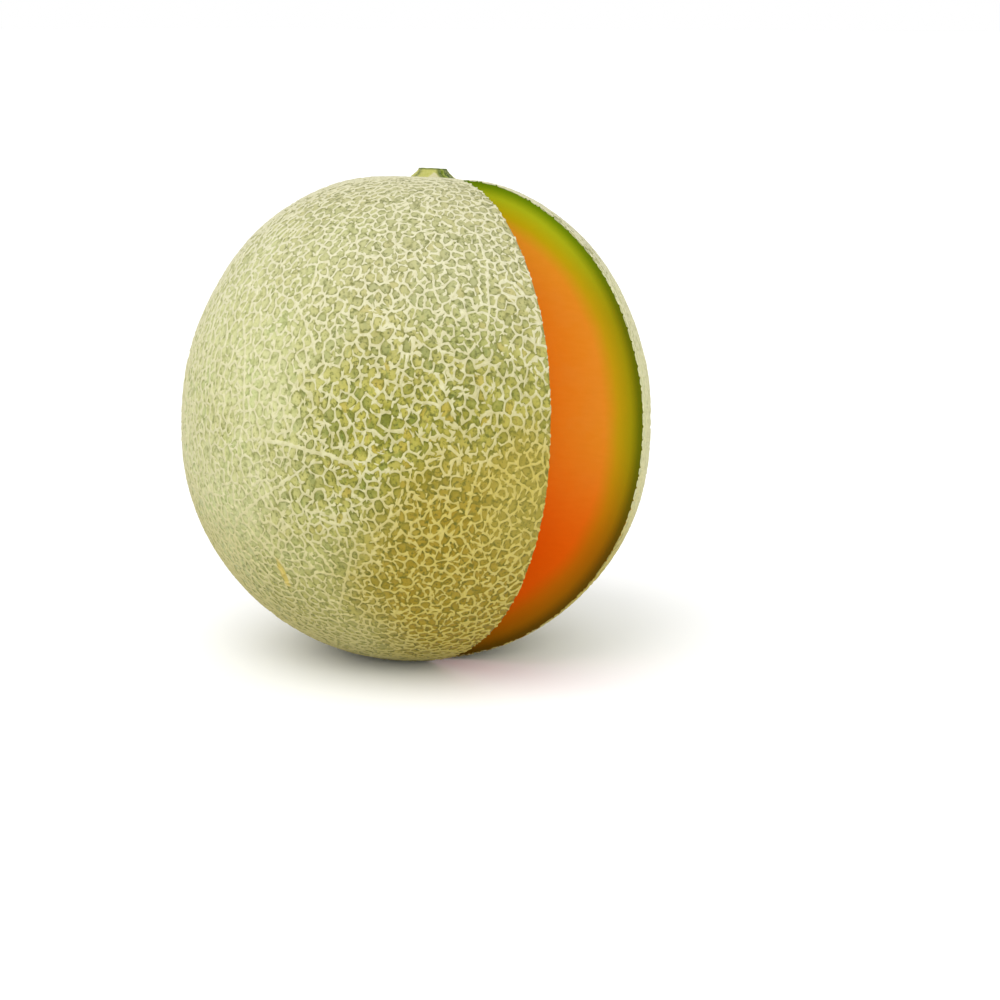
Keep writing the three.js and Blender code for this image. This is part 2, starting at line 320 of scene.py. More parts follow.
def net_mesh():
    """The whole net as one closed skin: crests on the cells' borders, a foot ring inside
    each cell and a floor. Gives its points, its faces and the marks that its points bear:
    how much each is cord, what tone its cell has, and whether it is its cell's middle."""
    rng = np.random.default_rng(NET_SEED)
    seeds, partner, in_scar = net_seeds(rng)
    triangles, corners = cell_corners(seeds)
    middles = seeds * 1e-6  # so little that it counts only for a seed without corners
    for k in range(3):
        np.add.at(middles, triangles[:, k], corners)
    lone = partner < 0
    seeds[lone] = unit(seeds + (unit(middles) - seeds) * NET_SETTLING)[lone]
    triangles, corners = cell_corners(seeds)

    # Each corner of each triangle is one turn of the walk round its seed's cell. The next
    # turn is in the triangle across the side that comes back to the seed.
    cell = triangles.ravel()
    corner = np.repeat(np.arange(len(triangles)), 3)
    leaving = cell * len(seeds) + np.roll(triangles, -1, axis=1).ravel()
    order = np.argsort(leaving)
    returning = cell * len(seeds) + np.roll(triangles, 1, axis=1).ravel()
    following = order[np.searchsorted(leaving, returning, sorter=order)]
    ahead = corner[following]

    # One border for each pair of corners that follow each other, seen from both its cells.
    low, high = np.minimum(corner, ahead), np.maximum(corner, ahead)
    keys, border = np.unique(low * len(corners) + high, return_inverse=True)
    ends = np.stack([keys // len(corners), keys % len(corners)], axis=1)
    borders = len(keys)
    forward = corner == low
    one_side, other_side = np.zeros(borders, int), np.zeros(borders, int)
    one_side[border[forward]] = cell[forward]
    other_side[border[~forward]] = cell[~forward]
    is_long = partner[one_side] == other_side
    cluster = clusters(seeds, rng)
    is_main = (cluster[one_side] != cluster[other_side]) | is_long

    # Corners very near to each other become one.
    group = np.arange(len(corners))
    length = np.linalg.norm(corners[ends[:, 0]] - corners[ends[:, 1]], axis=1) * HALF_WIDTH
    short = ends[length < SHORTEST_BORDER]
    for _ in range(3):
        least = np.minimum(group[short[:, 0]], group[short[:, 1]])
        np.minimum.at(group, short[:, 0], least)
        np.minimum.at(group, short[:, 1], least)
    group = group[group]
    middles = np.zeros_like(corners)
    np.add.at(middles, group, corners)
    corners = unit(middles[group])

    # How strong and how wide each border's cord is.
    draw = rng.random(borders)
    strength = rng.uniform(*FINE_STRENGTH, (borders, 2))
    strength[draw < ABSENT_SHARE] = 0
    spur = (draw >= ABSENT_SHARE) & (draw < ABSENT_SHARE + SPUR_SHARE)
    broken = rng.integers(0, 2, borders)
    strength[spur, broken[spur]] = 0
    width = rng.uniform(*FINE_WIDTH, borders)
    strength[is_main] = rng.uniform(*MAIN_STRENGTH, (borders, 2))[is_main]
    faint = is_main & (draw < FAINT_SHARE) & ~is_long
    strength[faint] = FAINT_STRENGTH
    broken_main = is_main & (draw > WHOLE_SHARE) & ~is_long
    strength[broken_main, broken[broken_main]] = 0
    width[is_main] = rng.uniform(*MAIN_WIDTH, borders)[is_main]
    width[is_long] *= LONG_CORD_WIDENING
    is_scar = is_long & in_scar[one_side]
    strength[is_scar] = SCAR_STRENGTH
    width[is_scar] = SCAR_WIDTH

    # A corner is as strong as the strongest cord that ends there.
    corner_strength = np.zeros(len(corners))
    corner_width = np.zeros(len(corners))
    is_short = length < SHORT_BORDER
    for k in (0, 1):
        firm = np.where(is_short, 0, strength[:, k])
        np.maximum.at(corner_strength, group[ends[:, k]], firm)
        np.maximum.at(corner_width, group[ends[:, k]], width * (firm > 0) + 0.01)
    corner_strength, corner_width = corner_strength[group], corner_width[group]
    for k in (0, 1):
        strength[is_short, k] = corner_strength[ends[is_short, k]]

    # Crest points: the corners, then two on each border, bent a little where the cells on
    # both sides leave room for it.
    start, end = corners[ends[:, 0]], corners[ends[:, 1]]
    aside = np.cross(start, end - start)
    inner = []
    apart = np.linalg.norm(seeds[one_side] - seeds[other_side], axis=1) / 2
    far = np.linalg.norm(seeds[one_side] - unit(start + end), axis=1)
    loose = (smoothstep(length, 0.5, 1.8) * smoothstep(apart / far, 0.5, 0.85))[:, None]
    bow = rng.normal(0, BOW, borders)[:, None]
    for share in (1 / 3, 2 / 3):
        bend = (bow + rng.normal(0, KINK, borders)[:, None]) * loose
        slide = rng.normal(0, SLIDE, borders)[:, None] * loose
        inner.append(unit(start + (end - start) * (share + slide) + aside * bend))
    crest = np.concatenate([corners, np.stack(inner, axis=1).reshape(-1, 3)])
    crest_strength = np.concatenate([corner_strength, strength.ravel()])
    crest_width = np.concatenate([corner_width * CORNER_WIDENING, np.repeat(width, 2)])

    # Each side of each border, walked round its cell: four crest points, of which the last
    # is the next side's first, and three foot points inside the cell.
    inner_start = len(corners) + 2 * border
    sides = [
        group[corner],
        np.where(forward, inner_start, inner_start + 1),
        np.where(forward, inner_start + 1, inner_start),
        group[ahead],
    ]
    solid = sides[0] != sides[3]
    foot_corner = cell * len(corners) + group[corner]
    foot_ahead = cell * len(corners) + group[ahead]
    corner_feet, number = np.unique(np.concatenate([foot_corner, foot_ahead]), return_inverse=True)
    foot_cell = corner_feet // len(corners)

    def inset(points, widths, cells):
        """Moved from a cell's border towards its seed by the cord's half width."""
        inwards = seeds[cells] - points
        radius = np.linalg.norm(inwards, axis=1) * HALF_WIDTH
        share = np.minimum(CORD_HALF_WIDTH * widths / radius, LARGEST_SHARE)
        return unit(points + inwards * share[:, None])

    rim = corner_feet % len(corners)
    feet = inset(crest[rim], crest_width[rim], foot_cell)
    midway = unit(crest[sides[1]] + crest[sides[2]])
    mid_feet = inset(midway, crest_width[sides[1]], cell)

    # A point that another of its cell's cords also covers is raised: narrow angles are
    # filled, and so are cells that are hardly wider than their cords.
    def covered(points, near, far):
        """How far the cord from one crest point to another covers these points."""
        line = crest[far] - crest[near]
        share = np.sum((points - crest[near]) * line, axis=1)
        share = np.clip(share / np.maximum(np.sum(line * line, axis=1), 1e-12), 0, 1)
        gap = np.linalg.norm(crest[near] + line * share[:, None] - points, axis=1) * HALF_WIDTH
        firm = crest_strength[near] * (1 - share) + crest_strength[far] * share
        reach = CORD_HALF_WIDTH * (crest_width[near] * (1 - share) + crest_width[far] * share)
        return firm * (1 - smoothstep(gap / reach, 0.3, 0.97))

    floors = np.concatenate([feet, mid_feet, seeds])
    first_foot = number[: len(cell)]
    last_foot = number[len(cell):]
    mid_foot = len(feet) + np.arange(len(cell))
    heart = len(feet) + len(mid_feet) + cell
    rise = np.concatenate([crest_strength, np.zeros(len(floors))])
    everything = np.concatenate([crest, floors])
    raised = [*sides[:3], *(len(crest) + f for f in (first_foot, mid_foot, heart))]
    other = np.arange(len(cell))
    for _ in range(MOST_SIDES):
        segments = [(sides[k][other], sides[k + 1][other]) for k in range(3)]
        for indices in raised:
            for near, far in segments:
                np.maximum.at(rise, indices, covered(everything[indices], near, far))
        other = following[other]
    crest_strength = rise[: len(crest)]
    fill = rise[len(crest):]

    def stretched(directions):
        return unit(directions * [1, 1, NET_STRETCH])

    crest, feet, mid_feet, hearts = (stretched(d) for d in (crest, feet, mid_feet, seeds))
    tops = on_body(crest)
    away = np.hypot(tops[:, 0] - STEM_X, tops[:, 1] - STEM_Y)
    away[crest[:, 2] < 0] = HALF_WIDTH
    crest_strength *= NET_AT_STEM + (1 - NET_AT_STEM) * smoothstep(away, *NET_RISES)
    sink = CREST_HEIGHT * (1 - crest_strength)
    floors = np.concatenate([feet, mid_feet, hearts])
    points = np.concatenate([
        on_body(crest) - crest * sink[:, None],
        on_body(floors) - floors * CREST_HEIGHT * (1 - fill[:, None]),
    ])
    first_foot, mid_foot, last_foot, heart = (
        len(crest) + f for f in (first_foot, mid_foot, last_foot, heart)
    )
    triangles = np.concatenate([
        np.stack(corners_of, axis=1)[solid]
        for corners_of in (
            (first_foot, sides[0], sides[1]),
            (first_foot, sides[1], mid_foot),
            (mid_foot, sides[1], sides[2]),
            (mid_foot, sides[2], last_foot),
            (last_foot, sides[2], sides[3]),
            (first_foot, mid_foot, heart),
            (mid_foot, last_foot, heart),
        )
    ])
    tone = rng.random(len(seeds))
    cord = np.concatenate([crest_strength, fill])
    tones = np.concatenate([np.full(len(crest), 0.5), tone[foot_cell], tone[cell], tone])
    middle = np.zeros(len(points))
    middle[-len(seeds):] = 1
    used, triangles = np.unique(triangles, return_inverse=True)
    triangles = triangles.reshape(-1, 3)
    marks = [("cord", cord[used]), ("cell_tone", tones[used]), ("cell_middle", middle[used])]
    return without_folds(points[used], triangles), triangles.tolist(), marks


def without_folds(points, triangles):
    """The points, with those of too steep or folded triangles moved to the middle of their
    neighbours, a little further in each pass."""
    for _ in range(SMOOTHING_PASSES):
        a, b, c = (points[triangles[:, k]] for k in range(3))
        across_face = np.cross(b - a, c - a)
        facing = np.sum(across_face * unit(a), axis=1)
        steep = facing < STEEPEST * np.linalg.norm(across_face, axis=1)
        at_fault = np.zeros(len(points), bool)
        at_fault[triangles[steep]] = True
        around = triangles[at_fault[triangles].any(axis=1)]
        total, count = np.zeros_like(points), np.zeros(len(points))
        for k in range(3):
            for turn in (1, 2):
                np.add.at(total, around[:, k], points[around[:, k - turn]])
                np.add.at(count, around[:, k], 1)
        points[at_fault] = total[at_fault] / count[at_fault, None]
    return points


def clusters(seeds, rng):
    """For each seed, the cluster of cells that it belongs to."""
    middles = unit(rng.normal(size=(NET_CLUSTERS, 3))).astype(np.float32)
    nearness = seeds.astype(np.float32) @ middles.T
    return np.argmax(nearness, axis=1)


# -------- cutting

def only(piece):
    """Makes this piece the one that operators act on."""
    bpy.ops.object.select_all(action="DESELECT")
    piece.select_set(True)
    bpy.context.view_layer.objects.active = piece


def cut(piece, tool, operation="DIFFERENCE"):
    """Cuts a piece with a tool, whose material goes onto the new faces."""
    only(piece)
    modifier = piece.modifiers.new("cut", "BOOLEAN")
    modifier.operation = operation
    modifier.solver = "MANIFOLD"
    modifier.object = tool
    bpy.ops.object.modifier_apply(modifier=modifier.name)


def into_row(piece):
    """Takes a piece that was made in own millimetres into the row frame, its origin too."""
    piece.data.transform(TO_ROW @ piece.matrix_world)
    piece.matrix_world = Matrix.Identity(4)
    return piece


def prism(name, outline, low, high):
    """A closed prism with this outline, along the axis."""
    bpy.ops.mesh.primitive_circle_add(vertices=len(outline), radius=1, fill_type="NGON")
    piece = bpy.context.object
    piece.name = name
    for vertex, (x, y) in zip(piece.data.vertices, outline):
        vertex.co = (x, y, low)
    bpy.ops.object.mode_set(mode="EDIT")
    bpy.ops.mesh.select_all(action="SELECT")
    bpy.ops.mesh.extrude_region_move(TRANSFORM_OT_translate={"value": (0, 0, high - low)})
    bpy.ops.mesh.select_all(action="SELECT")
    bpy.ops.mesh.normals_make_consistent(inside=False)
    bpy.ops.object.mode_set(mode="OBJECT")
    return into_row(piece)


def across(angle, length):
    """The x and y of a point at this angle round the axis and distance from it."""
    return math.sin(angle) * length, -math.cos(angle) * length


def wedge_tool(shrink=0.0):
    """The space of the cut-out wedge, set back by shrink from both cut planes."""
    half = WEDGE_ANGLE / 2
    back = shrink / math.sin(half)
    sides = [across(angle, WEDGE_REACH) for angle in (-half, 0, half)]
    outline = [(WEDGE_X, WEDGE_Y - back)] + [(WEDGE_X + x, WEDGE_Y - back + y) for x, y in sides]
    return prism("wedge_tool", outline, -WEDGE_REACH, WEDGE_REACH)


def sector_tool(start, end):
    """A slice of all space round the axis."""
    steps = [start + (end - start) * share for share in (0, 1 / 3, 2 / 3, 1)]
    outline = [(0, 0)] + [across(angle, 2 * WEDGE_REACH) for angle in steps]
    return prism("sector_tool", outline, -WEDGE_REACH, WEDGE_REACH)


def round_body(name, segments, rings, shape):
    """A sphere whose points are moved where shape puts their directions."""
    bpy.ops.mesh.primitive_uv_sphere_add(segments=segments, ring_count=rings, radius=1)
    piece = bpy.context.object
    piece.name = name
    mesh = piece.data
    directions = np.array([v.co for v in mesh.vertices], float)
    mesh.vertices.foreach_set("co", shape(unit(directions)).astype(np.float32).ravel())
    return into_row(piece)


def ground_tool():
    """A block under the floor's level, which cuts the flat spot that the melon rests on."""
    bpy.ops.mesh.primitive_cube_add(size=1, location=(0, 0, -0.5))
    piece = bpy.context.object
    piece.name = "ground_tool"
    bpy.ops.object.transform_apply(location=True, rotation=False, scale=True)
    return piece


# -------- shader helpers

def colour(red, green, blue):
    """A colour as the shaders take it, given in 0 to 255 as it is seen in the studio, whose
    light is a little brighter than white."""
    def light(value):
        value /= 255
        value = value / 12.92 if value <= 0.04045 else ((value + 0.055) / 1.055) ** 2.4
        return value / STUDIO_BRIGHTNESS
    return light(red), light(green), light(blue), 1.0


class Shader:
    """A material's node tree, put together one node at a time."""

    def __init__(self, tree):
        self.tree = tree
        tree.nodes.clear()

    def add(self, kind, inputs=(), output=0, **settings):
        """A node with its settings, its inputs given as values or as other nodes' sockets."""
        node = self.tree.nodes.new(kind)
        for name, value in settings.items():
            setattr(node, name, value)
        for key, value in dict(inputs).items():
            if isinstance(value, bpy.types.NodeSocket):
                self.tree.links.new(value, node.inputs[key])
            else:
                node.inputs[key].default_value = value
        return node.outputs[output] if node.outputs else node

    def math(self, operation, *values):
        return self.add("ShaderNodeMath", enumerate(values), operation=operation)

    def step(self, value, low, high, bottom=0.0, top=1.0):
        """Rises smoothly from bottom to top while value goes from low to high."""
        inputs = {0: value, 1: low, 2: high, 3: bottom, 4: top}
        return self.add("ShaderNodeMapRange", inputs, interpolation_type="SMOOTHSTEP")

    def mix(self, share, first, second, blend="MIX"):
        inputs = {0: share, 6: first, 7: second}
        return self.add("ShaderNodeMix", inputs, output=2, data_type="RGBA", blend_type=blend)

    def tinted(self, surface, layers):
        """A surface under layers of colour: for each its colour, its place and its strength."""
        for tint, place, strength in layers:
            surface = self.mix(self.math("MULTIPLY", place, strength), surface, colour(*tint))
        return surface

    def noise(self, place, size, detail=2.0, roughness=0.5, stretch=None):
        """Cloudy noise whose patches are about size millimetres across."""
        if stretch:
            place = self.add("ShaderNodeMapping", {"Vector": place, "Scale": stretch})
        inputs = {"Vector": place, "Scale": 1 / size, "Detail": detail, "Roughness": roughness}
        return self.add("ShaderNodeTexNoise", inputs)

    def ramp(self, value, stops):
        """The colour at value between stops, each a position and a colour."""
        socket = self.add("ShaderNodeValToRGB", {0: value})
        elements = socket.node.color_ramp.elements
        while len(elements) < len(stops):
            elements.new(1.0)
        for element, (position, tint) in zip(elements, stops):
            element.position = position
            element.color = tint
        return socket

    def vector(self, operation, *values, output=1):
        """Vector maths whose result is a number, or a vector if output is 0."""
        return self.add("ShaderNodeVectorMath", enumerate(values), output, operation=operation)

    def attribute(self, name):
        return self.add("ShaderNodeAttribute", output=2, attribute_name=name)

    def melon_place(self):
        """The place in the melon's own frame, in millimetres."""
        place = self.add("ShaderNodeTexCoord", output=3)
        return self.add("ShaderNodeMapping", {
            "Vector": place,
            "Location": PLACED.translation * MM,
            "Rotation": PLACED.to_euler(),
            "Scale": (MM, MM, MM),
        }, vector_type="TEXTURE")

    def depth(self, place):
        """Depth under the body's surface, in millimetres, with the height along the axis
        and the distance from the axis."""
        x, y, z = self.add("ShaderNodeSeparateXYZ", {0: place}).node.outputs
        radial = self.vector("LENGTH", self.add("ShaderNodeCombineXYZ", {0: x, 1: y}))
        calc = self.math
        up = calc("GREATER_THAN", z, 0.0)
        near = calc("POWER", calc("DIVIDE", radial, DIMPLE_RADIUS), 2.0)
        dimple = calc("MULTIPLY", calc("EXPONENT", calc("MULTIPLY", near, -1.0)), up)
        risen = calc("MULTIPLY_ADD", dimple, DIMPLE_DEPTH, calc("ABSOLUTE", z))
        power = calc("MULTIPLY_ADD", up, TOP_POWER - BOTTOM_POWER, BOTTOM_POWER)
        height = calc("MULTIPLY_ADD", up, TOP_HEIGHT - BOTTOM_HEIGHT, BOTTOM_HEIGHT)
        wide = calc("POWER", calc("DIVIDE", radial, HALF_WIDTH), power)
        tall = calc("POWER", calc("DIVIDE", risen, height), power)
        reach = calc("POWER", calc("ADD", wide, tall), calc("DIVIDE", 1.0, power))
        beyond = calc("SUBTRACT", calc("DIVIDE", 1.0, reach), 1.0)
        return calc("MULTIPLY", self.vector("LENGTH", place), beyond), z, radial

    def bump(self, height, strength, distance):
        inputs = {"Strength": strength, "Distance": distance, "Height": height}
        return self.add("ShaderNodeBump", inputs)

    def finish(self, **sockets):
        """The surface shader, each socket given as a value or as another node's socket."""
        inputs = {name.replace("_", " "): value for name, value in sockets.items()}
        surface = self.add("ShaderNodeBsdfPrincipled", inputs)
        self.add("ShaderNodeOutputMaterial", {"Surface": surface})


def new_material(name):
    """A material and the shader that is put together for it."""
    material = bpy.data.materials.new(name)
    material.use_nodes = True
    return material, Shader(material.node_tree)


# -------- materials

# Directions that zones of the rind face, scaled so that the dot product with a place on the
# rind is near 1 in the zone's middle.
# The two pale sides are partly paler skin and partly painted light, lighter as if lit.
PALE_LIT_SIDE = (*across(math.radians(-118), 1 / HALF_WIDTH), 0.1 / HALF_WIDTH)
SECOND_PALE_LIT_SIDE = (*across(math.radians(42), 1 / HALF_WIDTH), 0.1 / HALF_WIDTH)
CUT_SIDE = (*across(math.radians(-10), 1 / HALF_WIDTH), 0)
RIPE_SIDE = (-0.267 / HALF_WIDTH, -0.8 / HALF_WIDTH, -0.534 / HALF_WIDTH)

BRUISE = (-63.2, -0.8, -41.5)  # a small yellow mark
BRUISE_AXIS = (0.57, -0.03, -0.82)
BRUISE_LENGTH = 13
BRUISE_WIDTH = 2.6
BRUISE_EDGE = (0.56 * BRUISE_WIDTH) ** 2  # squares of the distances at which it ends
BRUISE_CORE = (0.3 * BRUISE_WIDTH) ** 2  # and at which it is full

CORK_EDGE = (0.26, 0.5)  # shares of a cord's height between which its cork begins


def rind_zones(s, place, broad):
    """How much each zone of the rind covers a place, from 0 to 1, with uneven borders."""
    _, height, radial = s.depth(place)

    def facing(direction, unevenness, low, high):
        share = s.vector("DOT_PRODUCT", place, direction)
        return s.step(s.math("MULTIPLY_ADD", broad, unevenness, share), low, high)

    # pale: partly paler skin, partly painted light on the side that the light falls on
    pale = facing(PALE_LIT_SIDE, 0.6, 0.78, 1.36)
    pale = s.math("MULTIPLY", pale, s.step(height, -64, -8, 0.45, 1.0))
    second = facing(SECOND_PALE_LIT_SIDE, 0.3, 0.88, 1.1)
    ripe = facing(RIPE_SIDE, 0.3, 0.8, 1.04)
    return {
        "pale": s.math("MAXIMUM", pale, s.math("MULTIPLY", second, 0.8)),
        "second_pale": second,
        "ripe": ripe,
        "cut_side": facing(CUT_SIDE, 0.3, 0.92, 1.14),
        # foot: painted shade, the rind darker towards the bottom
        "foot": s.step(height, -34, -68),
        "upper": s.step(height, 8, 58),
        "calm": s.math("MULTIPLY", s.step(height, -4, -42), s.step(ripe, 0, 1, 1.0, 0.0)),
        "near_stem": s.math("MULTIPLY", s.step(radial, 50, 12), s.step(height, 30, 60)),
    }


def skin_colour(s, place, zones, broad, medium, fine):
    """The skin between the cords: each cell has its own tone, over which run clouds,
    lengthwise streaks and specks, and each zone tints it."""
    tone = s.attribute("cell_tone")
    mottle = s.noise(place, 2.3, 4, 0.62)
    streak = s.noise(place, 1.7, 3, 0.6, stretch=(1, 1, 0.4))
    speck = s.noise(place, 1.15, 3, 0.55)
    skin = s.mix(s.step(medium, 0.4, 0.62), colour(138, 134, 38), colour(166, 160, 70))
    skin = s.tinted(skin, [
        ((180, 172, 76), s.step(tone, 0.5, 0.8), 0.5),
        ((116, 144, 58), s.step(broad, 0.5, 0.62), 0.35),
        ((104, 116, 36), s.step(tone, 0.36, 0.12), 0.6),
        ((100, 102, 26), s.step(mottle, 0.52, 0.36), 0.6),
        ((180, 170, 92), s.step(mottle, 0.54, 0.68), 0.35),
        ((88, 112, 30), s.step(streak, 0.56, 0.7), 0.5),
        ((158, 130, 62), s.step(streak, 0.42, 0.3), 0.4),
        ((172, 148, 46), s.math("GREATER_THAN", tone, 0.965), 0.5),
        # painted shade towards the bottom
        ((138, 120, 34), zones["foot"], 0.35),
        ((148, 120, 2), zones["ripe"], 0.75),
        ((186, 184, 140), zones["upper"], 0.72),
        ((170, 168, 104), zones["calm"], 0.6),
        ((168, 166, 84), zones["cut_side"], 0.3),
    ])
    # The pale sides' skin: partly its own paler colour, partly painted light.
    pale = s.mix(s.step(mottle, 0.36, 0.6), colour(182, 184, 126), colour(200, 200, 148))
    pale = s.tinted(pale, [((170, 184, 118), s.step(medium, 0.52, 0.66), 0.4)])
    skin = s.mix(s.math("MULTIPLY", zones["pale"], 0.95), skin, pale)

    # Dark specks, and painted shade in a line along the foot of each cord, where the cord would
    # shade the skin, both fainter in some zones.
    darkness = s.step(zones["pale"], 0, 1, 0.68, 0.32)
    for zone, least in (("upper", 0.8), ("calm", 0.7), ("cut_side", 0.7)):
        darkness = s.math("MULTIPLY", darkness, s.step(zones[zone], 0, 1, 1.0, least))
    cord_foot_shade = s.step(s.math("MULTIPLY_ADD", fine, 0.5, s.attribute("cell_middle")), 0.7, 0.2)
    patchy_cord_shade = s.math("MULTIPLY", darkness, s.step(mottle, 0.6, 0.44, 0.1, 0.82))
    return s.tinted(skin, [
        ((184, 180, 144), zones["near_stem"], 0.8),
        ((78, 84, 18), s.step(speck, 0.48, 0.34), darkness),
        ((92, 94, 18), cord_foot_shade, patchy_cord_shade),
    ])


def cork_colour(s, place, zones, medium, fine):
    """The cords' cork, greyer in some patches and lighter in others as painted highlights, and
    tinted by each zone.
    """
    grey_and_highlight = s.noise(place, 2.6, 3, 0.6)
    cork = s.mix(s.step(medium, 0.35, 0.65), colour(190, 184, 134), colour(200, 196, 151))
    return s.tinted(cork, [
        ((172, 166, 114), s.step(grey_and_highlight, 0.52, 0.36), 0.5),
        # painted highlight on the cords
        ((212, 208, 168), s.step(grey_and_highlight, 0.52, 0.68), 0.45),
        # paler cork on the pale sides, partly as painted light
        ((214, 211, 170), zones["pale"], 0.7),
        ((218, 215, 184), zones["upper"], 0.75),
        ((200, 192, 134), zones["calm"], 0.7),
        # painted shade towards the bottom
        ((186, 174, 108), zones["foot"], 0.5),
        ((190, 171, 64), zones["ripe"], 0.75),
        ((178, 168, 118), s.step(fine, 0.45, 0.75), 0.3),
    ])


def bruised(s, place):
    """Where the small yellow mark is: a long round spot, measured along and off its axis."""
    offset = s.vector("SUBTRACT", place, BRUISE, output=0)
    along = s.vector("DOT_PRODUCT", offset, BRUISE_AXIS)
    along = s.math("MULTIPLY", along, BRUISE_WIDTH / BRUISE_LENGTH)
    aside = s.vector("LENGTH", s.vector("CROSS_PRODUCT", offset, BRUISE_AXIS, output=0))
    spread = s.math("ADD", s.math("POWER", along, 2.0), s.math("POWER", aside, 2.0))
    return s.step(spread, BRUISE_EDGE, BRUISE_CORE)


def rind_material():
    """Corky cream net over a yellow-green skin that has two pale sides, partly painted light, and
    a ripe one, with painted shade along the cords' feet and towards the bottom.
    """
    material, s = new_material("netted_rind")
    place = s.melon_place()
    broad = s.noise(place, 26, 2)
    medium = s.noise(place, 9, 3)
    fine = s.noise(place, 1.1, 3)
    zones = rind_zones(s, place, broad)
    skin = skin_colour(s, place, zones, broad, medium, fine)
    cork = cork_colour(s, place, zones, medium, fine)
    shown = s.step(s.math("MULTIPLY_ADD", fine, 0.16, s.attribute("cord")), *CORK_EDGE)
    surface = s.tinted(s.mix(shown, skin, cork), [
        ((206, 180, 76), bruised(s, place), 0.6),
        # the second pale side: partly paler skin, partly painted light
        ((222, 219, 174), zones["second_pale"], 0.45),
    ])
    grain = s.noise(place, 0.35, 4, 0.6)
    grain = s.math("MULTIPLY", grain, s.math("MULTIPLY_ADD", shown, 0.8, 0.2))
    s.finish(Base_Color=surface, Roughness=s.step(shown, 0, 1, 0.5, 0.82),
             Normal=s.bump(grain, 0.35, 0.0003), Specular_IOR_Level=0.2)
    return material


# The flesh's layers: millimetres in from the skin, the colour there at the side, and the
# colour there towards the stem, where the green goes deeper.
FLESH_LAYERS = [
    (0.0, (190, 185, 125), (190, 185, 125)),  # corky rim
    (0.3, (85, 95, 0), (85, 110, 0)),  # dark green
    (1.5, (95, 100, 0), (105, 130, 0)),  # green
    (4.0, (145, 135, 5), (160, 170, 20)),  # light green
    (8.0, (180, 145, 10), (180, 160, 5)),  # gold
    (12.5, (220, 135, 30), (220, 145, 35)),  # orange
    (30.0, (240, 130, 25), (240, 130, 25)),  # deep orange
]
FLESH_DEPTH = FLESH_LAYERS[-1][0]
# Painted shade, with the red cast of bounced light: the orange darker and redder towards the
# blossom end.
PAINTED_SHADE_LOW = (1.04, 0.46, 0.03, 1)  # of the orange, towards the blossom end


def flesh_material():
    """Cut flesh: a dark green line under the rind, green, gold and then orange, painted
    darker and redder towards the blossom end as shade, with faint fibres that run in from the
    rind."""
    material, s = new_material("cut_flesh")
    place = s.melon_place()
    depth, height, _ = s.depth(place)
    wander = s.math("MULTIPLY_ADD", s.noise(place, 9, 2), 1.2, -0.6)
    strayed = s.math("ADD", depth, s.math("MULTIPLY", wander, s.step(depth, 1, 9)))
    share = s.math("DIVIDE", strayed, FLESH_DEPTH)
    side, top = (
        s.ramp(share, [(layer[0] / FLESH_DEPTH, colour(*layer[k])) for layer in FLESH_LAYERS])
        for k in (1, 2)
    )
    surface = s.mix(s.step(height, 34, 70), side, top)
    fibres = s.noise(place, 1.2, 3, 0.55, stretch=(0.25, 0.25, 1))
    cloud = s.noise(place, 10, 3)
    inside = s.step(depth, 7, 14)
    surface = s.tinted(surface, [
        ((250, 170, 70), s.math("MULTIPLY", s.step(fibres, 0.35, 0.7), inside), 0.07),
        ((226, 142, 52), s.math("MULTIPLY", s.step(cloud, 0.45, 0.7), inside), 0.2),
    ])
    # Painted shade, with the red cast of bounced light: darker and redder towards the blossom end.
    surface = s.mix(s.step(height, 4, -40), surface, PAINTED_SHADE_LOW, "MULTIPLY")
    s.finish(Base_Color=surface, Roughness=0.5, Specular_IOR_Level=0.04,
             Normal=s.bump(s.noise(place, 0.8, 4, 0.6), 0.1, 0.0003))
    return material


def cavity_material():
    """The scooped seed cavity: pale, moist flesh with stringy lengthwise marks."""
    material, s = new_material("cavity_wall")
    place = s.melon_place()
    strings = s.noise(place, 2.2, 4, 0.6, stretch=(1, 1, 0.18))
    cloud = s.noise(place, 9, 3)
    surface = s.mix(s.step(cloud, 0.35, 0.65), colour(248, 196, 122), colour(251, 212, 146))
    surface = s.tinted(surface, [
        ((254, 230, 180), s.step(strings, 0.5, 0.68), 0.6),
        ((240, 166, 84), s.step(strings, 0.42, 0.3), 0.35),
    ])
    s.finish(Base_Color=surface, Roughness=0.3, Specular_IOR_Level=0.45,
             Normal=s.bump(strings, 0.3, 0.0006))
    return material


